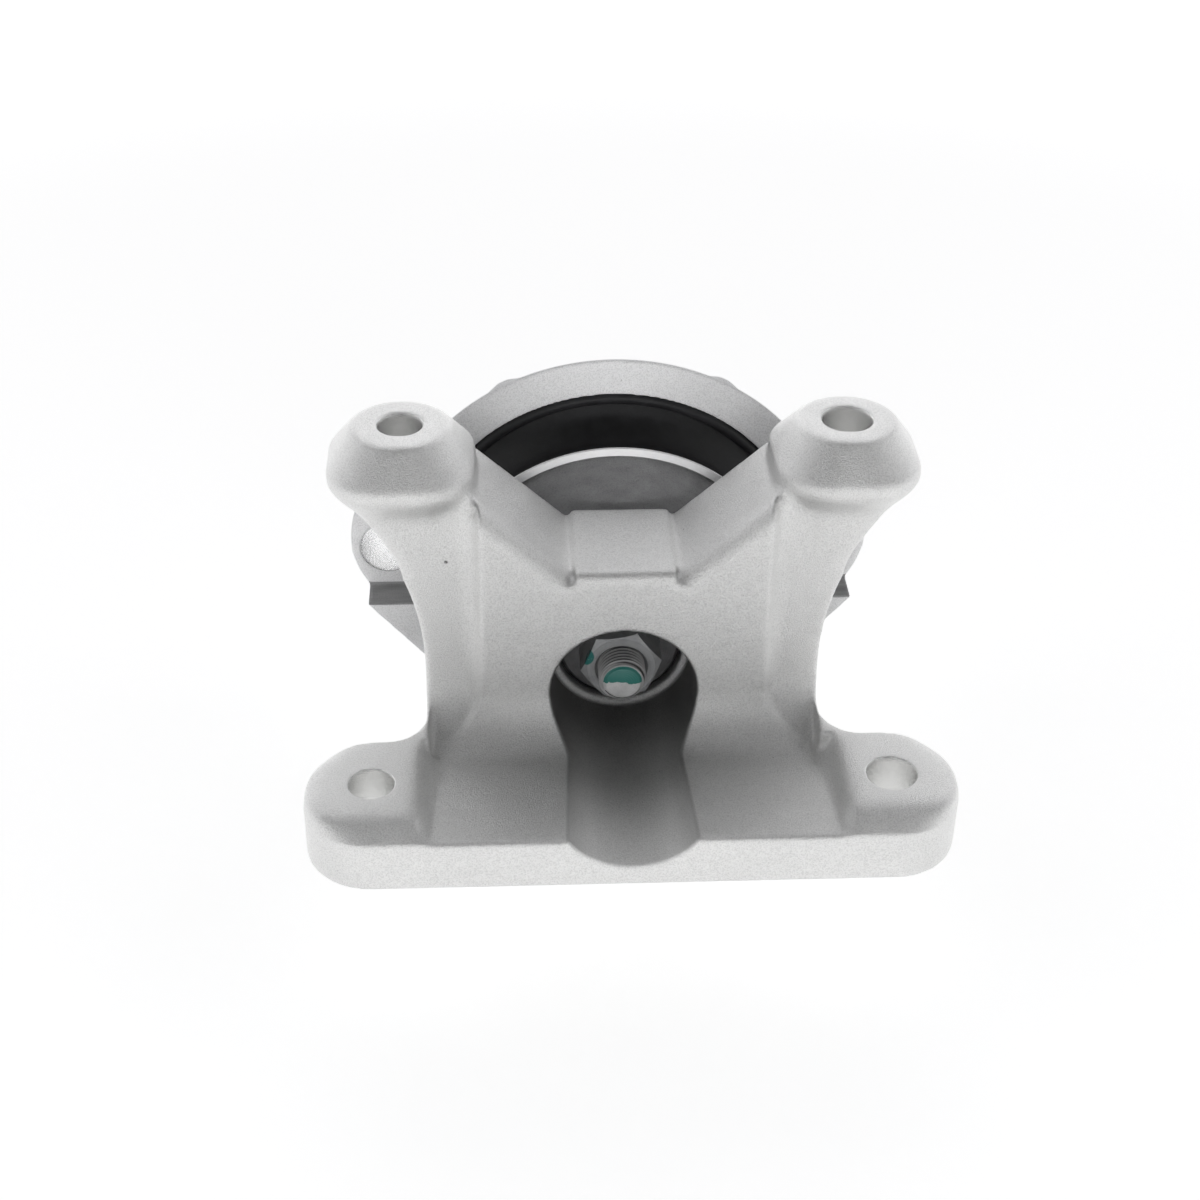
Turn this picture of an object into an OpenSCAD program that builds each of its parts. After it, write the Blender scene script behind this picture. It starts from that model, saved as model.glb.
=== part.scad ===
// Transmission mount: a cast support bracket clamped by a stud and nut to the
// core of a conical rubber spring, which sits in a cast housing with two ears.
// The origin is the centre of the housing's rear mounting face, on the stud's
// axis. X runs across, -Y runs forward along the stud, +Z is up.

/* [Bracket body] */
// Distance from the housing's mounting face to the seat of the bracket
seat_h = 64; // [60:0.5:70]
// Thickness of the bracket's body along the stud
body_t = 31; // [29:0.5:34]
// Radius of the hub round the stud
hub_r = 35.5; // [34:0.5:37]
// Radius of the channel that clears the nut
channel_r = 18.2; // [17:0.2:19.4]
// Thickness of the hub's wall that the nut clamps
hub_floor = 7.5; // [6:0.5:10]
// Depth of the spot face round the washer
spot_depth = 4.3; // [3.2:0.1:6]
// Width of the raised web between the legs
web_w = 70.8; // [68:0.2:74]
// How far the legs' faces lie behind the web's face
leg_step = 5; // [3:0.5:7]
// Width over the legs at the waist
waist_w = 98.4; // [95:0.2:102]
// Radius of the hollow in each leg's outer side
waist_r = 70; // [64:1:80]
// Height of the waist above the stud's axis
waist_z = 6; // [2:0.5:10]
// Width of the hub's crown between the two ribs
crown_w = 25; // [22:0.5:28]
// Drop from the crown to the foot of the ribs' upper faces
crown_drop = 2.6; // [2:0.2:4]
// Slope of the ribs' upper faces in degrees
rib_slope = 42; // [40:0.5:44]
// Rounding of the ribs' front edges
rib_edge_r = 5; // [2:0.5:6]
// Thickness of the web in front of the rear pockets
pocket_web = 9; // [7:0.5:14]
// Wall left round the rear pockets
pocket_wall = 6.5; // [5:0.5:8]

/* [Bolt bosses] */
// Spacing of the two upper bolt bores
boss_gap = 106.6; // [103:0.2:110]
// Height of the bosses' tops above the stud's axis
boss_z = 67; // [65:0.5:70]
// Distance of the upper bores behind the web's face
boss_back = 18; // [16:0.5:20]
// Width of a boss below its cone
boss_w = 35.4; // [34:0.2:38]
// Depth of a boss below its cone, front to rear
boss_d = 36.4; // [34:0.2:38]
// Diameter of a boss's flat top
boss_top_d = 23.6; // [20:0.2:26]
// Height of a boss's cone
boss_cone_h = 9; // [7:0.5:11]
// Height of a boss's straight flank
boss_flank_h = 8.5; // [7:0.5:10]
// Size of the turn under a boss's flank
boss_turn = 4.5; // [3:0.5:6]
// Height of the taper from a boss's front down to the leg
boss_under_h = 14; // [10:0.5:16]
// Length of the bores through the bosses
boss_bore_l = 28; // [26:0.5:29]
// Clearance round the bolts below those bores
bolt_clear = 0.8; // [0.5:0.1:1.5]
// Diameter of the bolt bores on the left
left_bore_d = 10.6; // [9:0.1:13]
// Diameter of the bolt bores on the right
right_bore_d = 12; // [9:0.1:13]

/* [Base bar] */
// Length of the base bar
bar_w = 157.4; // [154:0.2:162]
// Depth of the base bar, front to rear
bar_d = 34; // [32:0.5:38]
// Height of the base bar between its pads
bar_h = 14; // [12:0.5:16]
// Dip of the bar's top from its front edge to its foot at the web
bar_dip = 2; // [0.5:0.5:3]
// Underside of the base bar below the stud's axis
bar_drop = 24; // [23:0.5:27]
// Offset of the base bar from the stud's axis, to the right
bar_shift = 0.8; // [0:0.1:2]
// Distance from the web's face to the rear edge of the bar's ends
bar_lead = 10.5; // [9:0.5:13]
// Radius of the bar's ends
bar_end_r = 16.4; // [12:0.2:16.8]
// Rise of the bolt pads above the bar
pad_rise = 4.5; // [3:0.5:6]
// Spacing of the two lower bolt bores
pad_gap = 124.8; // [123:0.2:127]
// Flat length of a pad in front of its bore
pad_flat = 11.8; // [10:0.2:13]
// Radius of the hollow from the web down to the bar
web_fillet_r = 12; // [9:0.5:14]
// Radius of the hollow from each leg down to the bar
leg_fillet_r = 15; // [12:0.5:17]
// Radius of the flare at the web's lower corners
flare_r = 13.4; // [8:0.2:13.6]
// Radius of the corner between a leg and the bar's end, seen from above
heel_r = 10; // [5:0.5:11]

/* [Stud and nut] */
// Thread diameter of the stud
stud_d = 12; // [10:0.5:14]
// Width across the nut's flats
nut_af = 18; // [17:0.5:22]
// Height of the nut
nut_h = 10; // [8:0.5:12]
// Length of the stud beyond the nut
stud_proud = 6.8; // [4:0.2:9]
// Length of the stud inside the core
stud_root = 24; // [16:1:30]
// Diameter of the washer
washer_d = 31.6; // [28:0.2:33]
// Thickness of the washer
washer_t = 3; // [2:0.5:4]

/* [Housing] */
// Distance from the mounting face to the housing's front face
housing_h = 37; // [34:0.5:42]
// Outer radius of the housing's front face
rim_r = 62.2; // [61:0.2:64]
// Width of the housing's front face between its rim and its mouth
rim_w = 9.7; // [8:0.1:12]
// Depth of the housing's straight mouth
mouth_depth = 5; // [3:0.5:8]
// Slope of the cone from the stud's axis in degrees
cone_angle = 30; // [26:0.5:32]
// Thickness of the housing's floor
floor_t = 5; // [4:0.5:8]
// Spacing of the bores in the two ears
ear_gap = 122; // [118:0.5:124]
// Radius of the ears' outline
ear_r = 24; // [20:0.5:26]
// Rise of the centre of that outline above the stud's axis
ear_rise = 2; // [0:0.5:4]
// Slope of the ears' lower edges in degrees
ear_slope = 49; // [47:0.5:52]
// Distance from the mounting face to the ears' front faces
ear_h = 26.5; // [24:0.5:30]
// Diameter of the ears' bores
ear_bore_d = 15; // [12:0.2:16]
// Wall of the ears' sleeves round their bores
ear_wall = 2.7; // [2.5:0.1:4]
// Thickness of the rib that ties each sleeve to the housing's cone
ear_rib_t = 7; // [5:0.5:10]
// Drop from the bores to the ledge under each ear's front face
ear_ledge = 11.4; // [10.5:0.1:13]
// Thickness of the housing at the ears
plate_t = 16; // [14:0.5:19]
// Angle of the two rim lugs from the vertical in degrees
lug_angle = 28; // [20:1:34]
// Radius of the rim lugs
lug_r = 8.5; // [6:0.5:10]
// Thickness of the rim lugs
lug_t = 4; // [3:0.5:6]

/* [Core and rubber] */
// Gap between the housing's mouth and the core's lip
lip_gap = 6.9; // [6:0.1:8]
// Width of the lip's front face
lip_w = 2; // [1.5:0.1:3]
// Width of the core's cone from its lip to its seat for the bracket
cone_w = 10.6; // [9.5:0.1:12]
// Distance of the lip behind the bracket's seat
lip_back = 11; // [9:0.5:13]
// Groove round the foot of the core's cone
lip_groove = 0.8; // [0.4:0.1:1.2]
// Thickness of the core's lip
lip_t = 2.5; // [2:0.1:4]
// Radius of the core's rear end
core_end_r = 18; // [15:0.5:22]
// Height of the straight part of that end
core_end_l = 3; // [2:0.5:5]
// Gap between the core's rear end and the housing's floor
bump_gap = 9; // [7:0.5:12]
// Thickness of the steel liner round the rubber
liner_t = 2; // [1.5:0.1:2.5]
// Radius of the rubber's bead at the mouth
bead_r = 1.8; // [1:0.1:2.2]
// Depth of the valley round the rubber's front face
valley_d = 5; // [3:0.5:6]
// Land left on each side of the valley
valley_land = 1.2; // [0.8:0.1:2]
// Thickness of the rubber buffer on the housing's floor
buffer_t = 5; // [3:0.5:6]

/* [Hidden] */
$fn = 96;

// Clearance between turned parts that fit in one another
fit = 0.05;
// Overshoot of every cut past the surface that it leaves
over = 1;

// Heights in front of the housing's mounting face
web_h = seat_h + body_t;
leg_h = web_h - leg_step;
bar_back_h = web_h + bar_lead;
bar_front_h = bar_back_h + bar_d;
pad_h = bar_back_h + bar_end_r;
boss_h = web_h - boss_back;
spot_h = seat_h + hub_floor;
channel_h = spot_h + spot_depth;
nut_seat_h = spot_h + washer_t;
nut_top_h = nut_seat_h + nut_h;
stud_end_h = nut_top_h + stud_proud;
stud_root_h = seat_h - stud_root;
lip_h = seat_h - lip_back;

// Heights above the stud's axis
bar_z = bar_h - bar_drop;
foot_z = bar_z - bar_dip;
pad_z = bar_z + pad_rise;
cone_z = boss_z - boss_cone_h;
flank_z = cone_z - boss_flank_h;
under_z = flank_z - boss_under_h;
body_top_z = cone_z - 3.5;
shoulder_x = waist_w / 2 + waist_r - sqrt(pow(waist_r, 2) - pow(flank_z - waist_z, 2));

// Outer side of the legs and the foot of the ribs' upper faces
leg_x = waist_w / 2;
web_x = web_w / 2;
boss_x = boss_gap / 2;
pad_x = pad_gap / 2;
ear_x = ear_gap / 2;
pocket_x = boss_x - max(left_bore_d, right_bore_d) / 2 - pocket_wall / 2;
crown_x = crown_w / 2;
crown_z = hub_r - 0.5;
rib_z = crown_z - crown_drop;
rib_l = 60;

// Lines of the cones, as radii that grow with the height
cone_k = tan(cone_angle);
rim_lip = 1.2;
rear_bevel = 1.5;
mouth_r = rim_r - rim_w;
mouth_h = housing_h - mouth_depth;
floor_r = mouth_r - (mouth_h - floor_t) * cone_k;
shell_r = rim_r - (housing_h - rim_lip - 2 * rear_bevel) * cone_k;

// Core and liner
lip_r = mouth_r - lip_gap;
neck_r = lip_r - lip_t;
neck_h = lip_h - lip_t;
core_seat_r = lip_r - lip_w - cone_w;
core_end_h = floor_t + bump_gap;
core_cone_h = core_end_h + core_end_l;
liner_r = mouth_r - fit;
liner_in_r = liner_r - liner_t;
liner_top_h = housing_h - 4;
liner_end_h = floor_t + 6;
liner_drop = (mouth_h - liner_end_h) * cone_k;

// Ears of the housing
sleeve_r = ear_bore_d / 2 + ear_wall;
ear_cx = ear_x + sleeve_r - ear_r;

// Stands a front view between two heights in front of the mounting face
module stand(h0, h1) {
    translate([0, -h0, 0]) rotate([90, 0, 0]) linear_extrude(h1 - h0) children();
}

// Turns a profile of radius and height round the stud's axis
module turn() {
    rotate([90, 0, 0]) rotate_extrude() children();
}

// Runs a side view of height and level across the whole width
module across(w) {
    rotate([90, 0, -90]) linear_extrude(w, center = true) children();
}

// Raises a plan of across and height between two levels
module raise(z0, z1) {
    translate([0, 0, z0]) mirror([0, 1, 0]) linear_extrude(z1 - z0) children();
}

// Repeats its children on the left
module both_sides() {
    children();
    mirror([1, 0, 0]) children();
}

// Hollow of a round inner corner, drawn into the first quadrant
module hollow(r) {
    difference() {
        square(r);
        translate([r, r]) circle(r);
    }
}

// What a rounding takes off an outer corner, with the corner at the origin
module rounding(r) {
    difference() {
        translate([-r, -r]) square(r + over);
        translate([-r, -r]) circle(r);
    }
}

// Gap between the two ribs above the hub's crown
module rib_gap() {
    difference() {
        polygon([
            [-crown_x, rib_z],
            [crown_x, rib_z],
            [crown_x + rib_l * cos(rib_slope), rib_z + rib_l * sin(rib_slope)],
            [-crown_x - rib_l * cos(rib_slope), rib_z + rib_l * sin(rib_slope)]
        ]);
        translate([-crown_x, 0]) square([crown_w, crown_z]);
    }
}

// Hollow in the outer side of a leg
module waist_circle(grow = 0) {
    translate([leg_x + waist_r, waist_z]) circle(waist_r + grow, $fn = 160);
}

// Front view of the body behind the legs' faces
module body_outline() {
    translate([-leg_x, -bar_drop]) square([waist_w, bar_drop + waist_z + fit]);
    difference() {
        translate([-shoulder_x, waist_z]) square([2 * shoulder_x, body_top_z - waist_z]);
        both_sides() waist_circle();
        rib_gap();
    }
}

// Front view of the raised web, with flares at its lower corners
module web_outline() {
    difference() {
        translate([-web_x, -bar_drop]) square([web_w, body_top_z + bar_drop]);
        rib_gap();
    }
    both_sides() translate([web_x, foot_z]) hollow(flare_r);
    translate([-web_x - flare_r, -bar_drop]) square([web_w + 2 * flare_r, foot_z + bar_drop + fit]);
}

// Side view of an upright face at face_h that runs down onto the bar
module side_outline(face_h, fillet_r) {
    translate([seat_h, -bar_drop]) square([face_h - seat_h, body_top_z + bar_drop]);
    polygon([
        [seat_h, -bar_drop],
        [seat_h, foot_z],
        [face_h + fillet_r, foot_z],
        [bar_front_h, bar_z],
        [bar_front_h, -bar_drop]
    ]);
    translate([face_h, foot_z]) hollow(fillet_r);
}

// Plan of the bar with its round ends
module bar_outline() {
    translate([bar_shift - bar_w / 2 + bar_end_r, bar_back_h]) square([bar_w - 2 * bar_end_r, bar_d]);
    translate([bar_shift - bar_w / 2, bar_back_h + bar_end_r]) square([bar_w, bar_d - 2 * bar_end_r]);
    for (x = [-1, 1], h = [bar_back_h + bar_end_r, bar_front_h - bar_end_r])
        translate([bar_shift + x * (bar_w / 2 - bar_end_r), h]) circle(bar_end_r);
}

// Plan of the legs, the bar and the hollow corners between them
module foot_outline() {
    bar_outline();
    translate([-leg_x, seat_h]) square([waist_w, bar_front_h - seat_h]);
    both_sides() translate([leg_x, bar_back_h]) mirror([0, 1]) hollow(heel_r);
}

// Bar and the lower part of the legs
module foot() {
    intersection() {
        raise(-bar_drop, waist_z + leg_fillet_r) foot_outline();
        across(bar_w + 2 * over) side_outline(leg_h, leg_fillet_r);
    }
}

// Web with the hollow that runs down onto the bar
module web() {
    intersection() {
        stand(seat_h, bar_front_h) web_outline();
        across(waist_w) side_outline(web_h, web_fillet_r);
    }
    both_sides() translate([web_x, -leg_h, foot_z + flare_r / 2])
        mirror([0, 1, 0]) linear_extrude(flank_z - foot_z - flare_r / 2) hollow(leg_step - fit);
}

// Pads round the lower bores, with a hollow step inward and a slope in front
module pads() {
    step_x = pad_x - pad_flat;
    step_r = pad_z - foot_z;
    base_z = foot_z - over;
    intersection() {
        raise(base_z, pad_z) foot_outline();
        union() {
            stand(bar_back_h, bar_front_h + over) translate([bar_shift, 0]) both_sides() {
                translate([step_x, base_z]) square([bar_w, pad_z - base_z]);
                translate([step_x, foot_z]) mirror([1, 0]) hollow(step_r);
                translate([step_x - step_r, base_z]) square([step_r, over]);
            }
            stand(leg_h, bar_back_h + fit) both_sides()
                translate([leg_x - over, base_z]) square([heel_r + 2 * over, pad_z - base_z]);
        }
        across(bar_w + 2 * over) polygon([
            [leg_h, base_z],
            [leg_h, pad_z],
            [pad_h + pad_flat, pad_z],
            [bar_front_h, bar_z],
            [bar_front_h, base_z]
        ]);
    }
}

// Plan of a boss, square to the web with round corners
module boss_outline(inset = 0) {
    corner_r = boss_w / 2.8;
    for (x = [-1, 1], h = [-1, 1])
        translate([x * (boss_w / 2 - corner_r), h * (boss_d / 2 - corner_r)])
            circle(corner_r - inset, $fn = 32);
}

// Boss round an upper bore: cone, straight flank and a taper into the leg
module boss() {
    slice = 0.1;
    translate([boss_x, -boss_h, 0]) hull() {
        translate([0, 0, boss_z - slice]) cylinder(h = slice, d = boss_top_d, $fn = 64);
        translate([0, 0, flank_z + boss_turn]) linear_extrude(boss_flank_h - boss_turn) boss_outline();
        translate([0, 0, flank_z]) linear_extrude(slice) boss_outline(boss_turn);
    }
    difference() {
        hull() {
            translate([boss_x, -boss_h, flank_z]) linear_extrude(slice) boss_outline(boss_turn);
            translate([web_x, -leg_h, under_z]) cube([shoulder_x - web_x, body_t - leg_step, slice]);
        }
        stand(seat_h - boss_d, web_h + boss_d) waist_circle();
    }
}

// Roundings on the front edges of the ribs and of the crown
module front_roundings() {
    both_sides() rotate([90, 0, 0]) translate([crown_x, rib_z, web_h]) rotate([0, 0, rib_slope])
        rotate([90, 0, 90]) linear_extrude(rib_l) rounding(rib_edge_r);
    across(crown_w) translate([web_h, crown_z]) rounding(rib_edge_r / 2);
}

// Front view of the pocket behind one half of the web
module pocket_outline() {
    intersection() {
        difference() {
            translate([0, -bar_drop + pocket_wall]) square([pocket_x, flank_z - pocket_wall + bar_drop]);
            circle(hub_r);
            translate([crown_x, rib_z]) rotate(rib_slope) translate([-rib_l, -pocket_wall]) square(3 * rib_l);
            waist_circle(pocket_wall);
        }
        square(2 * rib_l, center = true);
    }
}

// Bore along a bolt's axis between two levels
module bolt_bore(x, h, z0, z1, d) {
    translate([x, -h, z0]) cylinder(h = z1 - z0, d = d);
}

module support_bracket() color("gainsboro") {
    difference() {
        union() {
            difference() {
                union() {
                    stand(seat_h, leg_h) body_outline();
                    foot();
                    web();
                    pads();
                }
                front_roundings();
                both_sides() stand(seat_h - over, web_h - pocket_web) pocket_outline();
            }
            both_sides() boss();
        }
        stand(channel_h, bar_front_h + over) circle(channel_r);
        stand(spot_h, bar_front_h) circle(washer_d / 2 + 0.4);
        stand(seat_h - over, web_h) circle(stud_d / 2 + 0.5);
        for (side = [-1, 1]) {
            bore_d = side < 0 ? left_bore_d : right_bore_d;
            bolt_bore(side * boss_x, boss_h, boss_z - boss_bore_l, boss_z + over, bore_d);
            bolt_bore(side * boss_x, boss_h, waist_z, boss_z - boss_bore_l, bore_d + bolt_clear);
            bolt_bore(bar_shift + side * pad_x, pad_h, -bar_drop - over, pad_z + over, bore_d);
        }
    }
}

module hex_nut() color("silver") {
    corner_r = nut_af / 2 / cos(30);
    difference() {
        intersection() {
            stand(nut_seat_h, nut_top_h) rotate(8) circle(corner_r, $fn = 6);
            turn() polygon([
                [0, nut_seat_h],
                [corner_r, nut_seat_h],
                [corner_r, nut_top_h - 1],
                [nut_af / 2 - 0.4, nut_top_h],
                [0, nut_top_h]
            ]);
        }
        stand(nut_seat_h - over, nut_top_h + over) circle(stud_d / 2 + fit);
        turn() polygon([
            [0, nut_top_h - 1.2],
            [stud_d / 2 - 0.4, nut_top_h - 1.2],
            [stud_d / 2 + 0.8, nut_top_h],
            [stud_d / 2 + 0.8, nut_top_h + over],
            [0, nut_top_h + over]
        ]);
    }
}

module washer() color("darkgray") {
    bevel = 1;
    turn() polygon([
        [stud_d / 2 + 0.5, spot_h],
        [washer_d / 2, spot_h],
        [washer_d / 2, nut_seat_h - bevel],
        [washer_d / 2 - bevel, nut_seat_h],
        [stud_d / 2 + 0.5, nut_seat_h]
    ]);
}

module stud() color("silver") {
    point = 1.6;
    turn() polygon([
        [0, stud_root_h],
        [stud_d / 2, stud_root_h],
        [stud_d / 2, stud_end_h - point],
        [stud_d / 2 - point, stud_end_h],
        [0, stud_end_h]
    ]);
}

module core() color("darkgray") {
    turn() difference() {
        polygon([
            [0, core_end_h],
            [core_end_r, core_end_h],
            [core_end_r, core_cone_h],
            [neck_r, neck_h],
            [lip_r, lip_h - lip_groove],
            [lip_r, lip_h],
            [lip_r - lip_w, lip_h],
            [lip_r - lip_w - lip_groove, lip_h - lip_groove],
            [core_seat_r, seat_h - lip_t / 2],
            [core_seat_r, seat_h],
            [0, seat_h]
        ]);
        translate([-over, stud_root_h]) square([stud_d / 2 + fit + over, seat_h]);
    }
}

module liner() color("dimgray") {
    turn() polygon([
        [liner_in_r - liner_drop, liner_end_h],
        [liner_r - liner_drop, liner_end_h],
        [liner_r, mouth_h],
        [liner_r, liner_top_h],
        [liner_in_r, liner_top_h],
        [liner_in_r, mouth_h]
    ]);
}

// Spring between the core and the liner, with a bead over the liner's edge
// and a round valley in the face between the bead and the core's lip
module rubber_spring() color("#1b1b1c") {
    edge_r = liner_in_r - fit;
    edge_h = liner_top_h + fit;
    run_r = edge_r - neck_r - fit;
    run_h = neck_h - fit - edge_h;
    run = norm([run_r, run_h]);
    half_chord = run / 2 - valley_land;
    valley_r = (pow(half_chord, 2) + pow(valley_d, 2)) / (2 * valley_d);
    valley_out = (valley_r - valley_d) / run;
    turn() {
        difference() {
            polygon([
                [core_end_r + 2 * fit, core_cone_h],
                [edge_r - liner_drop + fit, liner_end_h],
                [edge_r, mouth_h],
                [edge_r, edge_h],
                [edge_r - run_r, edge_h + run_h]
            ]);
            translate([edge_r - run_r / 2 + valley_out * run_h, edge_h + run_h / 2 + valley_out * run_r])
                circle(valley_r);
        }
        translate([edge_r - bead_r, edge_h]) square([liner_r - edge_r + bead_r, bead_r]);
        translate([liner_r - bead_r, edge_h + bead_r]) circle(bead_r);
    }
}

module bump_stop() color("#1b1b1c") {
    turn() polygon([
        [0, floor_t],
        [core_end_r + 2, floor_t],
        [core_end_r + 2, floor_t + buffer_t - 2],
        [core_end_r, floor_t + buffer_t],
        [0, floor_t + buffer_t]
    ]);
}

// Front view of the housing's front plate: the rim and the two ears
module plate_outline() {
    lift = acos((rim_r - ear_r) / ear_cx);
    slope_x = ear_cx + ear_r * sin(ear_slope);
    slope_z = ear_rise - ear_r * cos(ear_slope);
    circle(rim_r, $fn = 160);
    both_sides() {
        translate([ear_cx, ear_rise]) circle(ear_r);
        polygon([
            [rim_r * cos(lift), rim_r * sin(lift)],
            [ear_cx + ear_r * cos(lift), ear_rise + ear_r * sin(lift)],
            [slope_x, slope_z],
            [slope_x - ear_r * cos(ear_slope), slope_z - ear_r * sin(ear_slope)],
            [0, 0]
        ]);
    }
}

// What the slope of an ear's lower edge cuts off the plate and the rim
module ear_trim() {
    translate([ear_cx, ear_rise]) rotate(ear_slope - 90) translate([ear_r, -rim_r]) square([rim_r, 2 * rim_r]);
}

module housing() color("gainsboro") {
    difference() {
        union() {
            turn() polygon([
                [0, 0],
                [shell_r - rear_bevel, 0],
                [shell_r, 2 * rear_bevel],
                [rim_r, housing_h - rim_lip],
                [rim_r, housing_h],
                [0, housing_h]
            ]);
            stand(housing_h - rim_lip, housing_h) plate_outline();
            stand(housing_h - plate_t, housing_h) intersection() {
                plate_outline();
                square([4 * rim_r, 2 * ear_r], center = true);
            }
            for (side = [-1, 1]) stand(housing_h - lug_t, housing_h)
                rotate(side * lug_angle) translate([0, rim_r - lug_r]) circle(lug_r);
            both_sides() stand(0, housing_h) translate([ear_x, 0]) circle(sleeve_r);
            stand(0, housing_h - over) square([ear_gap, ear_rib_t], center = true);
        }
        turn() polygon([
            [0, floor_t],
            [floor_r, floor_t],
            [mouth_r, mouth_h],
            [mouth_r, housing_h + over],
            [0, housing_h + over]
        ]);
        both_sides() {
            stand(-over, housing_h + over) ear_trim();
            stand(ear_h, housing_h + over) translate([ear_x - sleeve_r, -ear_ledge]) square([ear_r, 2 * ear_r]);
            stand(-over, housing_h) translate([ear_x, 0]) circle(d = ear_bore_d);
        }
    }
}

support_bracket();
hex_nut();
washer();
stud();
core();
rubber_spring();
liner();
bump_stop();
housing();
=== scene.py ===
"""Looks of the transmission mount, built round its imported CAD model."""

import math

import bmesh
import bpy
import numpy as np
from mathutils import Matrix, Vector


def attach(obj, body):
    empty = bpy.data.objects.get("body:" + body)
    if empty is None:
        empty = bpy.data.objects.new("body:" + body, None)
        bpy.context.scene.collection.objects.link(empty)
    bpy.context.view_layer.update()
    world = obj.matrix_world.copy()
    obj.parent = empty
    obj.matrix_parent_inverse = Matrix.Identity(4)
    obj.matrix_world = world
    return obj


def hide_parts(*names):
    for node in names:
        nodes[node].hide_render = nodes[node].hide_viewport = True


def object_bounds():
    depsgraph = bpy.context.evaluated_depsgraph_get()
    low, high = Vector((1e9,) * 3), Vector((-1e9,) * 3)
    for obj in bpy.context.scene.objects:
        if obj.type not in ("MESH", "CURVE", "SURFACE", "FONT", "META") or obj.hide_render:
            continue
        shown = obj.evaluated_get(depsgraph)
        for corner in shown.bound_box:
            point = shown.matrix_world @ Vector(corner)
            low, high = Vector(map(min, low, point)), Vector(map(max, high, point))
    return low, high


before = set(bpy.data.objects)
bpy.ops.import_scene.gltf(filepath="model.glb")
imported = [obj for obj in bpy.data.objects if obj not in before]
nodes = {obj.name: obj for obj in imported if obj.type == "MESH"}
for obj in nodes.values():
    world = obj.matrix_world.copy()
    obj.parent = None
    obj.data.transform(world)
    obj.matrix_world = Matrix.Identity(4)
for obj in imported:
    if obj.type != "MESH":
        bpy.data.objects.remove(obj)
cad_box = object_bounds()

# Heights in front of the housing's mounting face, in metres
WEB_H = 0.095
NUT_TOP_H = 0.0845
STUD_END_H = 0.0913

# Distance of the ears' bores from the stud's axis
EAR_X = 0.061
# Radii of the nut's channel, the housing's mouth and the core's lip
CHANNEL_R = 0.0182
MOUTH_R = 0.0525
LIP_R = 0.0432

# Drilled holes of the bracket: place in plan, radius and the span of their height
BOSS_BORES = [(-0.0533, -0.077, 0.0053, 0.039, 0.067), (0.0533, -0.077, 0.0060, 0.039, 0.067)]
PAD_BORES = [(-0.0616, -0.1219, 0.0053, -0.024, -0.0055), (0.0632, -0.1219, 0.0060, -0.024, -0.0055)]
BORES = BOSS_BORES + PAD_BORES

# Small dark nick in the bracket's skin: place, and the radii where its fade starts and ends
NICKS = [((-0.0431, -0.0900, 0.0363), 0.0002, 0.0007)]

# Teal marking paint on the stud and the nut
STUD_PAINT = (0.014, 0.098, 0.084, 1)
NUT_PAINT = (0.010, 0.090, 0.082, 1)


# Node building

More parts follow.
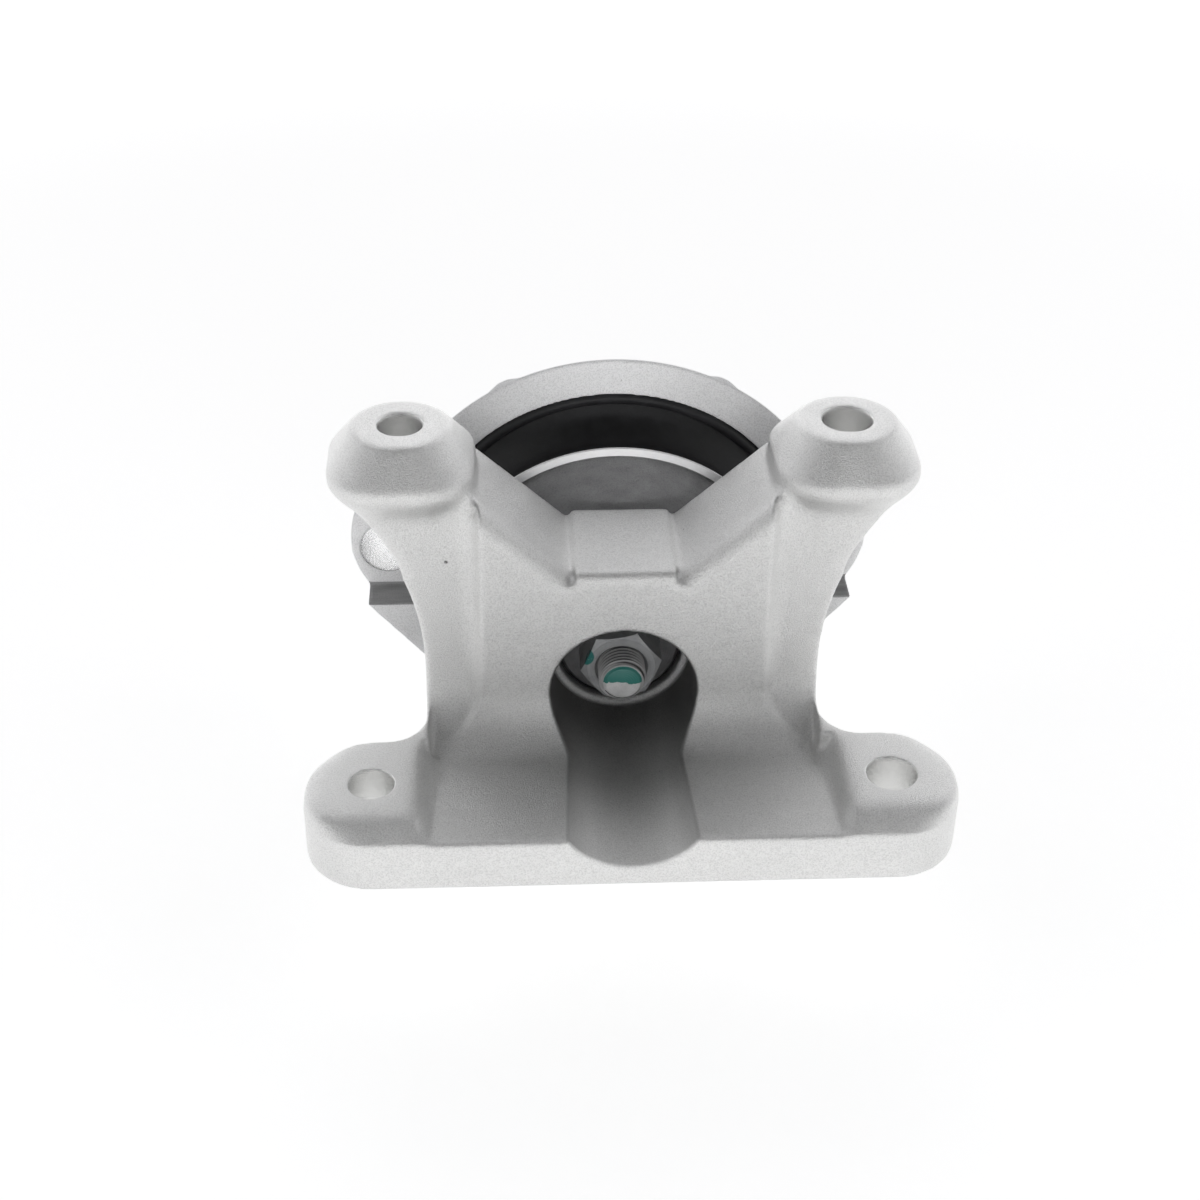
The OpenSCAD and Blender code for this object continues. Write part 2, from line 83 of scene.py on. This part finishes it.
class Net:
    """A material's node tree, with short calls for the nodes used here. Lengths are in metres.

    A mask is a socket that is 1 where it applies and 0 elsewhere.
    """

    def __init__(self, name):
        self.mat = bpy.data.materials.new(name)
        self.mat.use_nodes = True
        self.tree = self.mat.node_tree
        self.bsdf = self.tree.nodes["Principled BSDF"]
        self.pos = self.add("ShaderNodeTexCoord").outputs["Object"]

    def add(self, kind, **props):
        node = self.tree.nodes.new(kind)
        for key, value in props.items():
            setattr(node, key, value)
        return node

    def put(self, socket, value):
        """Links a socket to another, or sets its value."""
        if isinstance(value, bpy.types.NodeSocket):
            self.tree.links.new(value, socket)
        else:
            socket.default_value = value

    def math(self, op, a, b=0.0, c=0.0):
        node = self.add("ShaderNodeMath", operation=op)
        for socket, value in zip(node.inputs, (a, b, c)):
            self.put(socket, value)
        return node.outputs[0]

    def outside(self, mask):
        return self.math("SUBTRACT", 1.0, mask)

    def base(self):
        """The socket that feeds the base colour."""
        return self.bsdf.inputs["Base Color"].links[0].from_socket

    def noise(self, scale, detail, rough, offset=(0, 0, 0), stretch=(1, 1, 1)):
        mapping = self.add("ShaderNodeMapping")
        self.put(mapping.inputs["Vector"], self.pos)
        mapping.inputs["Location"].default_value = offset
        mapping.inputs["Scale"].default_value = stretch
        node = self.add("ShaderNodeTexNoise")
        self.put(node.inputs["Vector"], mapping.outputs[0])
        node.inputs["Scale"].default_value = scale
        node.inputs["Detail"].default_value = detail
        node.inputs["Roughness"].default_value = rough
        return node.outputs["Fac"]

    def ramp(self, value, stops):
        """A colour or a grey by the value, between stops of (place, shade)."""
        node = self.add("ShaderNodeValToRGB")
        self.put(node.inputs[0], value)
        elements = node.color_ramp.elements
        while len(elements) < len(stops):
            elements.new(0.5)
        for element, (at, shade) in zip(elements, stops):
            element.position = at
            element.color = (*shade, 1) if isinstance(shade, tuple) else (shade, shade, shade, 1)
        return node.outputs["Color"]

    def mix(self, amount, a, b, blend="MIX"):
        node = self.add("ShaderNodeMix", data_type="RGBA", blend_type=blend)
        self.put(node.inputs[0], amount)
        self.put(node.inputs[6], a)
        self.put(node.inputs[7], b)
        return node.outputs[2]

    def near(self, centre, inner, outer):
        """1 within inner of a point, falling to 0 at outer."""
        node = self.add("ShaderNodeVectorMath", operation="DISTANCE")
        self.put(node.inputs[0], self.pos)
        node.inputs[1].default_value = centre
        span = self.add("ShaderNodeMapRange", interpolation_type="SMOOTHSTEP")
        self.put(span.inputs["Value"], node.outputs["Value"])
        span.inputs["From Min"].default_value = inner
        span.inputs["From Max"].default_value = outer
        span.inputs["To Min"].default_value = 1.0
        span.inputs["To Max"].default_value = 0.0
        return span.outputs["Result"]

    def axis(self, name):
        node = self.add("ShaderNodeSeparateXYZ")
        self.put(node.inputs[0], self.pos)
        return node.outputs[name]

    def length(self, a, b):
        """Length of a line by its two shares."""
        return self.math("SQRT", self.math("MULTIPLY_ADD", a, a, self.math("MULTIPLY", b, b)))

    def radius(self):
        """Distance from the stud's axis."""
        return self.length(self.axis("X"), self.axis("Z"))

    def rings(self, pitch):
        """Waves round the stud's axis."""
        return self.math("SINE", self.math("MULTIPLY", self.radius(), 2 * math.pi / pitch))

    def off_axis(self, x, y):
        """Distance from an upright axis."""
        return self.length(self.math("SUBTRACT", self.axis("X"), x), self.math("SUBTRACT", self.axis("Y"), y))

    def step(self, value, low, high):
        """0 below low and 1 above high, with a smooth run between."""
        node = self.add("ShaderNodeMapRange", interpolation_type="SMOOTHSTEP")
        self.put(node.inputs["Value"], value)
        node.inputs["From Min"].default_value = low
        node.inputs["From Max"].default_value = high
        return node.outputs["Result"]

    def polish(self, where, rough):
        """Sets the roughness inside a mask."""
        socket = self.bsdf.inputs["Roughness"]
        old = socket.links[0].from_socket
        less = self.math("MULTIPLY", where, self.math("SUBTRACT", rough, old))
        self.put(socket, self.math("ADD", old, less))

    def bump(self, height, distance, strength, normal=None):
        node = self.add("ShaderNodeBump")
        node.inputs["Strength"].default_value = strength
        node.inputs["Distance"].default_value = distance
        self.put(node.inputs["Height"], height)
        if normal is not None:
            self.put(node.inputs["Normal"], normal)
        return node.outputs["Normal"]


def cast_metal(name, tone, metallic, rough, nicks=()):
    """Aluminium with a cast and blasted skin: soft clouds, a fine grain, a few pits and nicks."""
    net = Net(name)
    cloud = net.noise(30, 5, 0.6)
    patch = net.noise(140, 4, 0.6, (3, 1, 2))
    speck = net.noise(2900, 3, 0.7, (1, 4, 2))
    fine = net.noise(6000, 2, 0.6, (2, 2, 5))
    base = net.ramp(cloud, [(0.3, tuple(t * 0.96 for t in tone)), (0.7, tone)])
    base = net.mix(0.5, base, net.ramp(patch, [(0.3, 0.93), (0.7, 1.0)]), "MULTIPLY")
    base = net.mix(0.8, base, net.ramp(speck, [(0.34, 0.72), (0.56, 1.0)]), "MULTIPLY")
    pits = net.step(net.noise(900, 2, 0.5, (9, 2, 6)), 0.765, 0.80)
    base = net.mix(net.math("MULTIPLY", pits, 0.5), base, (0.16, 0.155, 0.15, 1))
    for centre, inner, outer in nicks:
        spot = net.math("MULTIPLY", net.near(centre, inner, outer), net.step(speck, 0.34, 0.52))
        base = net.mix(spot, base, (0.05, 0.05, 0.045, 1))
    net.put(net.bsdf.inputs["Base Color"], base)
    net.bsdf.inputs["Metallic"].default_value = metallic
    net.put(net.bsdf.inputs["Roughness"],
            net.math("MULTIPLY_ADD", speck, 0.20, net.math("MULTIPLY_ADD", patch, 0.10, rough)))
    normal = net.bump(speck, 0.00030, 0.85)
    normal = net.bump(fine, 0.00006, 0.6, normal)
    normal = net.bump(patch, 0.0005, 0.3, normal)
    net.put(net.bsdf.inputs["Normal"], normal)
    return net


def bracket_metal():
    """The cast skin, with painted shade in the nut's channel and bright drilled holes."""
    net = cast_metal("bracket_look", (0.92, 0.92, 0.912), 1.0, 0.19, NICKS)
    base = net.base()
    y, z = net.axis("Y"), net.axis("Z")
    # Painted shade in the nut's channel: darkest at the seat and up the side walls, lighter toward the front, with
    # a streaky ripple.
    channel = net.outside(net.step(net.radius(), CHANNEL_R + 0.0001, CHANNEL_R + 0.0008))
    channel = net.math("MULTIPLY", channel, net.outside(net.step(y, -0.0770, -0.0764)))
    wall = net.step(net.math("ABSOLUTE", net.axis("X")), 0.0085, 0.0165)
    streaks = net.noise(700, 3, 0.6, (2, 1, 3), (1, 0.05, 1))
    stain_and_shade = net.math("MULTIPLY_ADD", streaks, 0.25, net.step(y, -0.142, -0.098))
    shaded_channel = net.mix(1.0, base, net.ramp(stain_and_shade, [(0.12, 1.0), (0.50, 0.86), (1.0, 0.72)]), "MULTIPLY")
    shaded_channel = net.mix(wall, shaded_channel, net.mix(1.0, shaded_channel, (0.60, 0.60, 0.60, 1), "MULTIPLY"))
    base = net.mix(channel, base, shaded_channel)
    drilled = None
    for x, depth, r, low, high in BORES:
        hole = net.outside(net.step(net.off_axis(x, depth), r + 0.0002, r + 0.0005))
        hole = net.math("MULTIPLY", hole, net.step(z, low - 0.0004, low))
        drilled = hole if drilled is None else net.math("MAXIMUM", drilled, hole)
    net.put(net.bsdf.inputs["Base Color"], net.mix(drilled, base, (0.98, 0.98, 0.97, 1)))
    net.polish(drilled, 0.16)
    front = net.math("MULTIPLY", channel, net.outside(net.step(y, -0.142, -0.104)))
    net.put(net.bsdf.inputs["Metallic"], net.math("MULTIPLY_ADD", front, -0.85, 1.0))
    return net


def housing_metal():
    """The cast skin, with ledges darkened by painted shade and streaked by milling, and bright sleeves in the ears.
    """
    net = cast_metal("housing_look", (0.98, 0.98, 0.985), 0.2, 0.44)
    base = net.base()
    z, across = net.axis("Z"), net.math("ABSOLUTE", net.axis("X"))
    # Painted shade on the ledges under the ears' bosses, with streaks along them.
    ledge = net.math("MULTIPLY", net.step(z, -0.0120, -0.0118), net.outside(net.step(z, -0.0110, -0.0108)))
    ledge = net.math("MULTIPLY", ledge, net.step(across, 0.0530, 0.0540))
    ledge = net.math("MULTIPLY", ledge, net.outside(net.step(net.axis("Y"), -0.0215, -0.0210)))
    streaks = net.noise(260, 3, 0.6, (1, 1, 1), (0.15, 1, 1))
    milled_and_shaded = net.mix(1.0, base, net.ramp(streaks, [(0.3, 0.30), (0.7, 0.55)]), "MULTIPLY")
    base = net.mix(ledge, base, milled_and_shaded)
    bright = net.outside(net.step(net.length(net.math("SUBTRACT", across, EAR_X), z), 0.0077, 0.0080))
    net.put(net.bsdf.inputs["Base Color"], net.mix(bright, base, (0.99, 0.99, 0.99, 1)))
    net.put(net.bsdf.inputs["Metallic"], net.math("MULTIPLY_ADD", bright, 0.8, 0.2))
    net.polish(bright, 0.14)
    return net


def rubber():
    """Matt black rubber with moulding lines round the axis and a little dust."""
    net = Net("spring_rubber_look")
    dust = net.noise(260, 5, 0.65)
    fine = net.noise(1500, 3, 0.6, (4, 0, 1))
    base = net.ramp(dust, [(0.35, (0.010, 0.010, 0.011)), (0.75, (0.022, 0.022, 0.024))])
    net.put(net.bsdf.inputs["Base Color"], base)
    net.put(net.bsdf.inputs["Roughness"], net.math("MULTIPLY_ADD", dust, 0.22, 0.42))
    rings = net.rings(0.0042)
    normal = net.bump(rings, 0.00012, 0.5)
    normal = net.bump(fine, 0.00006, 0.6, normal)
    net.put(net.bsdf.inputs["Normal"], normal)
    return net


def steel(name, tone, rough, metallic=1.0):
    """Plated steel with faint turning marks and stains."""
    net = Net(name)
    stain_and_shade = net.noise(340, 4, 0.6)
    fine = net.noise(2600, 3, 0.7, (1, 3, 1))
    base = net.ramp(stain_and_shade, [(0.3, tuple(t * 0.75 for t in tone)), (0.7, tone)])
    net.put(net.bsdf.inputs["Base Color"], base)
    net.bsdf.inputs["Metallic"].default_value = metallic
    net.put(net.bsdf.inputs["Roughness"], net.math("MULTIPLY_ADD", fine, 0.22, rough))
    normal = net.bump(net.rings(0.0006), 0.00002, 0.4, net.bump(fine, 0.00004, 0.5))
    net.put(net.bsdf.inputs["Normal"], normal)
    return net


def painted_stud(tone):
    """Stud steel, with painted shade in the thread's grooves and marking paint on its end."""
    net = steel("stud_look", tone, 0.28, 0.5)
    mark = net.noise(300, 3, 0.6, (7, 2, 0))
    height = net.math("MULTIPLY", net.axis("Y"), -1.0)
    lift = net.math("MULTIPLY_ADD", mark, 0.0035, net.axis("Z"))
    end = net.step(height, STUD_END_H - 0.0007, STUD_END_H - 0.0005)
    paint = net.math("MULTIPLY", end, net.step(lift, 0.0019, 0.0021))
    base = net.base()
    # Painted shade in the thread's grooves: everything except the crests and the plain end is darkened.
    bare = net.step(height, STUD_END_H - 0.0016, STUD_END_H - 0.0013)
    crest = net.math("MAXIMUM", bare, net.step(net.radius(), 0.0054, 0.0058))
    base = net.mix(1.0, base, net.ramp(crest, [(0.0, 0.10), (1.0, 1.0)]), "MULTIPLY")
    net.put(net.bsdf.inputs["Base Color"], net.mix(paint, base, STUD_PAINT))
    net.put(net.bsdf.inputs["Metallic"], net.math("MULTIPLY_ADD", paint, -0.5, 0.5))
    return net


def painted_nut(tone):
    """Nut steel with a dab of the same paint on one side."""
    net = steel("nut_look", tone, 0.34, 0.5)
    mark = net.noise(500, 3, 0.6, (2, 5, 0))
    dab = net.math("MULTIPLY", net.near((-0.0094, -NUT_TOP_H, 0.0034), 0.0023, 0.0027), net.step(mark, 0.30, 0.38))
    net.put(net.bsdf.inputs["Base Color"], net.mix(dab, net.base(), NUT_PAINT))
    net.put(net.bsdf.inputs["Metallic"], net.math("MULTIPLY_ADD", dab, -0.5, 0.5))
    return net


def core_metal():
    """Core alloy: a bright turned lip, and a moulded cone darkened with painted shade."""
    # The cone's low tone and its mottled darkening are painted shade under the hub and the ribs; the lip keeps the
    # alloy's light tone.
    net = cast_metal("core_look", (0.62, 0.62, 0.63), 0.8, 0.42)
    lip = net.step(net.radius(), LIP_R, LIP_R + 0.0005)
    cone_shade_mottle = net.noise(90, 5, 0.65, (5, 5, 1), (1, 3, 1))
    skin = net.mix(0.9, net.base(), net.ramp(cone_shade_mottle, [(0.3, 0.42), (0.7, 0.66)]), "MULTIPLY")
    net.put(net.bsdf.inputs["Base Color"], net.mix(lip, skin, (0.98, 0.98, 0.985, 1)))
    net.put(net.bsdf.inputs["Metallic"], net.math("MULTIPLY_ADD", lip, -0.60, 0.60))
    return net


# Mesh work

# Cell of the voxel grid that the castings are smoothed on
CELL = 0.00055


def verts_of(mesh):
    data = np.empty(len(mesh.vertices) * 3, dtype=np.float32)
    mesh.vertices.foreach_get("co", data)
    return data.reshape(-1, 3).astype(np.float64)


def set_verts(mesh, points):
    mesh.vertices.foreach_set("co", points.astype(np.float32).ravel())
    mesh.update()


def edges_of(mesh):
    data = np.empty(len(mesh.edges) * 2, dtype=np.int32)
    mesh.edges.foreach_get("vertices", data)
    return data.reshape(-1, 2)


def relax(mesh, rounds, weight):
    """Smooths a mesh, moving each vertex by its weight."""
    points = verts_of(mesh)
    edges = edges_of(mesh)
    count = np.bincount(edges.ravel(), minlength=len(points)).astype(float)[:, None]
    share = weight[:, None] * 0.6
    for _ in range(rounds):
        total = np.zeros_like(points)
        np.add.at(total, edges[:, 0], points[edges[:, 1]])
        np.add.at(total, edges[:, 1], points[edges[:, 0]])
        points += share * (total / count - points)
    set_verts(mesh, points)


def soften(node, rounds, faces, weigh, extra=None):
    """A copy of a CAD node with the rounded edges of a casting, in at most so many triangles.

    weigh gives each point's share of the smoothing, and extra the share of a second, longer one.
    """
    piece = bpy.data.objects.new(node + "_cast", nodes[node].data.copy())
    bpy.context.collection.objects.link(piece)
    bpy.context.view_layer.objects.active = piece
    remesh = piece.modifiers.new("grid", "REMESH")
    remesh.mode = "VOXEL"
    remesh.voxel_size = CELL
    apply_all(piece)
    mesh = piece.data
    relax(mesh, rounds, weigh(verts_of(mesh)))
    if extra is not None:
        relax(mesh, rounds * 9, extra(verts_of(mesh)))
    count = sum(len(p.vertices) - 2 for p in mesh.polygons)
    if count > faces:
        thin = piece.modifiers.new("thin", "DECIMATE")
        thin.ratio = faces / count
        apply_all(piece)
    for polygon in piece.data.polygons:
        polygon.use_smooth = True
    return piece


def apply_all(piece):
    """Turns a piece's modifiers into its mesh."""
    graph = bpy.context.evaluated_depsgraph_get()
    mesh = bpy.data.meshes.new_from_object(piece.evaluated_get(graph))
    piece.modifiers.clear()
    old = piece.data
    piece.data = mesh
    bpy.data.meshes.remove(old)


def dress(piece, net):
    piece.data.materials.clear()
    piece.data.materials.append(net.mat)


def bevel(piece, width):
    """Breaks the sharp edges of a machined or moulded node."""
    mod = piece.modifiers.new("edge", "BEVEL")
    mod.width = width
    mod.segments = 2
    mod.limit_method = "ANGLE"
    mod.angle_limit = math.radians(35)


# Bracket and housing as castings

def bracket_weight(points):
    """Less smoothing at the drilled bores and in the turned spot face."""
    weight = np.ones(len(points))
    for x, y, r, low, high in BORES:
        away = np.abs(np.hypot(points[:, 0] - x, points[:, 1] - y) - r)
        close = (away < 0.0012) & (points[:, 2] > low - 0.001) & (points[:, 2] < high + 0.001)
        weight[close] = 0.25
    away = np.hypot(points[:, 0], points[:, 2])
    weight[np.abs(away - CHANNEL_R) < 0.0009] = 0.15
    weight[(away < CHANNEL_R + 0.0003) & (points[:, 1] > -0.077)] = 0.2
    return weight


def housing_weight(points):
    """Less smoothing at the edge of the mouth."""
    weight = np.ones(len(points))
    away = np.hypot(points[:, 0], points[:, 2])
    weight[(np.abs(away - MOUTH_R) < 0.0012) & (points[:, 1] < -0.03)] = 0.3
    return weight


def rise(value, low, high):
    """0 below low and 1 above high, with a smooth run between."""
    t = np.clip((value - low) / (high - low), 0, 1)
    return t * t * (3 - 2 * t)


def within(value, low, high, edge):
    """1 from low to high, fading over the edge on both sides."""
    return rise(value, low - edge, low) * (1 - rise(value, high, high + edge))


def soft_edges(points):
    """Where the casting's edges are rolled most: under the bosses, at the pads, beside the web and at the crown."""
    x, y, z = np.abs(points[:, 0]), points[:, 1], points[:, 2]
    sides = within(x, 0.031, 0.044, 0.003) * within(z, -0.006, 0.050, 0.004) * within(y, -0.098, -0.086, 0.002)
    collar = within(x, 0.038, 0.080, 0.003) * within(z, 0.034, 0.0525, 0.004) * (1 - rise(y, -0.074, -0.070))
    crown = within(x, 0.010, 0.018, 0.002) * within(z, 0.029, 0.036, 0.002) * within(y, -0.098, -0.074, 0.002)
    bore = np.min([np.hypot(points[:, 0] - b[0], y - b[1]) for b in PAD_BORES], axis=0)
    pads = (within(x, 0.045, 0.090, 0.002) * within(z, -0.0090, -0.0040, 0.001)
            * rise(bore, 0.0070, 0.0080) * (1 - rise(y, -0.112, -0.106)))
    return np.max([collar, 0.8 * pads, 0.10 * sides, 0.10 * crown], axis=0)


bracket = soften("support_bracket", 9, 190000, bracket_weight, soft_edges)
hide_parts("support_bracket")
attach(bracket, "root")
dress(bracket, bracket_metal())

housing = soften("housing", 5, 150000, housing_weight)
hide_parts("housing")
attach(housing, "root")
dress(housing, housing_metal())


# Stud with its rolled thread

def on_stud(h, r, angle):
    """A point round the stud's axis, at a height in front of the mounting face."""
    return r * math.cos(angle), -h, r * math.sin(angle)


def add_thread(bm):
    """The ridges from the core to the stud's end, which they narrow to follow."""
    pitch, outer, inner = 0.00125, 0.0060, 0.0052
    start, end = 0.066, STUD_END_H - 0.0008
    chamfer_l, chamfer_r, chamfer_slope = 0.0015, 0.0042, 1.2
    steps = 48
    # Section of one turn: share of the pitch, and radius
    profile = [(0.0, inner), (0.18, inner), (0.44, outer), (0.56, outer), (0.82, inner)]
    rows = []
    for i in range(int((end - start) / pitch * steps) + 1):
        row = []
        for share, r in profile:
            h = start + pitch * (i / steps + share)
            left = STUD_END_H - h
            if left < chamfer_l:
                r = min(r, chamfer_r + left * chamfer_slope)
            row.append(bm.verts.new(on_stud(min(h, STUD_END_H - 0.0003), r, 2 * math.pi * i / steps)))
        rows.append(row)
    for a, b in zip(rows, rows[1:]):
        for k in range(len(profile) - 1):
            bm.faces.new((a[k], b[k], b[k + 1], a[k + 1]))
    # Land between one turn and the next
    for i in range(len(rows) - steps):
        a, b = rows[i], rows[i + 1]
        c, d = rows[i + steps], rows[min(i + steps + 1, len(rows) - 1)]
        if c is not d:
            bm.faces.new((a[-1], b[-1], d[0], c[0]))
    bmesh.ops.remove_doubles(bm, verts=bm.verts, dist=1e-7)


def add_turned(bm, stations, sides=64):
    """A turned body, closed at both ends, through stations of (height, radius)."""
    last = None
    for h, r in stations:
        ring = [bm.verts.new(on_stud(h, r, 2 * math.pi * k / sides)) for k in range(sides)]
        if last:
            for k in range(sides):
                bm.faces.new((last[k], last[(k + 1) % sides], ring[(k + 1) % sides], ring[k]))
        else:
            bm.faces.new(ring)
        last = ring
    bm.faces.new(list(reversed(last)))


def threaded_stud():
    """The plain shank in the core, the thread, and its root with the chamfered end."""
    bm = bmesh.new()
    add_thread(bm)
    add_turned(bm, [(0.040, 0.0058), (0.0405, 0.0060), (0.0662, 0.0060), (0.0668, 0.0052)])
    add_turned(bm, [(0.0664, 0.0051), (0.0900, 0.0051), (0.0906, 0.0049), (0.0911, 0.00445), (0.0913, 0.0041)])
    bmesh.ops.recalc_face_normals(bm, faces=bm.faces)
    mesh = bpy.data.meshes.new("stud_thread")
    bm.to_mesh(mesh)
    bm.free()
    for polygon in mesh.polygons:
        polygon.use_smooth = True
    piece = bpy.data.objects.new("stud_thread", mesh)
    bpy.context.collection.objects.link(piece)
    return piece


stud = threaded_stud()
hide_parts("stud")
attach(stud, "root")
dress(stud, painted_stud((0.56, 0.56, 0.56)))

# Nodes that keep their CAD mesh: look, and width of the broken edges
for name, net, width in [
        ("hex_nut", painted_nut((0.30, 0.305, 0.31)), 0.0004),
        # The washer's dark steel tone is lowered further as painted shade for the shadow it lies in.
        ("washer", steel("washer_look", (0.26, 0.26, 0.265), 0.36), 0.0003),
        ("core", core_metal(), 0.0004),
        ("rubber_spring", rubber(), 0.0006),
        ("liner", steel("liner_look", (0.16, 0.16, 0.165), 0.45), 0.0003),
        ("bump_stop", rubber(), 0.0005)]:
    piece = nodes[name]
    for k in range(len(piece.material_slots)):
        piece.material_slots[k].material = net.mat
    bevel(piece, width)


# Floor, light and camera

# Glow that lifts the lit floor to white and leaves the object's shadow on it.
# Far off, where the lamps don't reach, it rises to white by itself.
FLOOR_GLOW = 0.58
FLOOR_HALF = 6
FLOOR_Z = cad_box[0][2] - 0.0005

mesh = bpy.data.meshes.new("floor")
mesh.from_pydata([(x, y, FLOOR_Z) for x, y in ((-FLOOR_HALF, -FLOOR_HALF), (FLOOR_HALF, -FLOOR_HALF),
                                               (FLOOR_HALF, FLOOR_HALF), (-FLOOR_HALF, FLOOR_HALF))],
                 [], [(0, 1, 2, 3)])
floor = bpy.data.objects.new("floor", mesh)
bpy.context.collection.objects.link(floor)
net = Net("floor_look")
path = net.add("ShaderNodeLightPath")
net.bsdf.inputs["Base Color"].default_value = (0.80, 0.80, 0.80, 1)
net.bsdf.inputs["Roughness"].default_value = 0.9
net.bsdf.inputs["Specular IOR Level"].default_value = 0.1
seen = net.math("MAXIMUM", path.outputs["Is Camera Ray"],
                net.math("MAXIMUM", path.outputs["Is Glossy Ray"], path.outputs["Is Transmission Ray"]))
net.bsdf.inputs["Emission Color"].default_value = (1, 1, 1, 1)
close = net.near((0, 0, 0), 0.4, 1.2)
glow = net.math("MULTIPLY_ADD", close, FLOOR_GLOW - 1.0, 1.0)
net.put(net.bsdf.inputs["Emission Strength"], net.math("MULTIPLY", seen, glow))
floor.data.materials.append(net.mat)

# Camera as fitted to the photograph: its angles, and the way from it to the centre of the web's face
EL, YAW, ROLL = math.radians(34.0815), math.radians(3.2551), math.radians(0.8695)
TO_RIGHT, TO_UP, AHEAD = 0.0059011, -0.0229991, 0.497844
forward = Vector((math.sin(YAW) * math.cos(EL), math.cos(YAW) * math.cos(EL), -math.sin(EL)))
side = Vector((math.cos(YAW), -math.sin(YAW), 0))
lift = side.cross(forward)
right = math.cos(ROLL) * side + math.sin(ROLL) * lift
up = -math.sin(ROLL) * side + math.cos(ROLL) * lift
eye = Vector((0, -WEB_H, 0)) - (TO_RIGHT * right + TO_UP * up + AHEAD * forward)
data = bpy.data.cameras.new("camera")
data.lens = 60.0
data.sensor_width = 36.0
data.sensor_fit = "HORIZONTAL"
data.clip_start = 0.01
camera = bpy.data.objects.new("camera", data)
basis = Matrix((right, up, -forward)).transposed().to_4x4()
camera.matrix_world = Matrix.Translation(eye) @ basis
bpy.context.collection.objects.link(camera)
bpy.context.scene.camera = camera


def lamp(name, place, aim, size, power, glossy=True):
    """A soft box of a given power in watts; without glossy it isn't mirrored in the metal."""
    light = bpy.data.lights.new(name, "AREA")
    light.shape = "RECTANGLE"
    light.size, light.size_y = size
    light.energy = power
    obj = bpy.data.objects.new(name, light)
    obj.location = place
    obj.rotation_euler = (Vector(aim) - Vector(place)).to_track_quat("-Z", "Y").to_euler()
    obj.visible_glossy = glossy
    bpy.context.collection.objects.link(obj)


MIDDLE, CHEST = (0, -0.06, 0), (0, -0.06, 0.02)
lamp("left", (-1.1, -0.3, 0.8), MIDDLE, (1.2, 0.9), 2)
lamp("right", (1.1, -0.3, 0.8), MIDDLE, (1.2, 0.9), 2)
lamp("back", (0.0, 1.2, 0.9), MIDDLE, (1.6, 0.9), 3)
lamp("front", (0.0, -1.3, 0.12), CHEST, (1.8, 0.26), 10.5, False)
lamp("front_glint", (0.0, -1.15, 0.10), CHEST, (1.6, 0.20), 1.8)

# World: white to the camera, and darker overhead in front for the metal and the shading, as in a
# studio where a dark card hangs over the camera
world = bpy.data.worlds.new("world")
bpy.context.scene.world = world
world.use_nodes = True
tree = world.node_tree
background = tree.nodes["Background"]
coord = tree.nodes.new("ShaderNodeTexCoord")
aim = tree.nodes.new("ShaderNodeVectorMath")
aim.operation = "DOT_PRODUCT"
# Direction of that card
aim.inputs[1].default_value = (0.0, -0.66, 0.75)
tree.links.new(coord.outputs["Generated"], aim.inputs[0])
half = tree.nodes.new("ShaderNodeMath")
half.operation = "MULTIPLY_ADD"
half.inputs[1].default_value = 0.5
half.inputs[2].default_value = 0.5
tree.links.new(aim.outputs["Value"], half.inputs[0])


def fade(stops):
    """Shade of the surroundings, from those opposite the dark card, at 0, to the card itself, at 1."""
    node = tree.nodes.new("ShaderNodeValToRGB")
    while len(node.color_ramp.elements) < len(stops):
        node.color_ramp.elements.new(0.5)
    for element, (at, shade) in zip(node.color_ramp.elements, stops):
        element.position = at
        element.color = (shade, shade, min(shade * 1.02, 1), 1)
    tree.links.new(half.outputs[0], node.inputs[0])
    return node.outputs["Color"]


def larger(a, b):
    node = tree.nodes.new("ShaderNodeMath")
    node.operation = "MAXIMUM"
    tree.links.new(a, node.inputs[0])
    tree.links.new(b, node.inputs[1])
    return node.outputs[0]


def choose(amount, a, b):
    """a, or b where the amount is 1."""
    node = tree.nodes.new("ShaderNodeMix")
    node.data_type = "RGBA"
    tree.links.new(amount, node.inputs[0])
    tree.links.new(a, node.inputs[6])
    if isinstance(b, tuple):
        node.inputs[7].default_value = b
    else:
        tree.links.new(b, node.inputs[7])
    return node.outputs[2]


ray = tree.nodes.new("ShaderNodeLightPath")
soft_light = fade([(0.0, 0.66), (0.43, 0.60), (0.675, 0.44), (0.85, 0.12), (1.0, 0.05)])
mirrored = fade([(0.17, 1.0), (0.43, 0.92), (0.55, 0.86), (0.66, 0.47), (0.78, 0.10), (1.0, 0.02)])
shade = choose(larger(ray.outputs["Is Glossy Ray"], ray.outputs["Is Transmission Ray"]), soft_light, mirrored)
tree.links.new(choose(ray.outputs["Is Camera Ray"], shade, (1, 1, 1, 1)), background.inputs["Color"])
background.inputs["Strength"].default_value = 1.0

bpy.context.scene.view_settings.view_transform = "Standard"
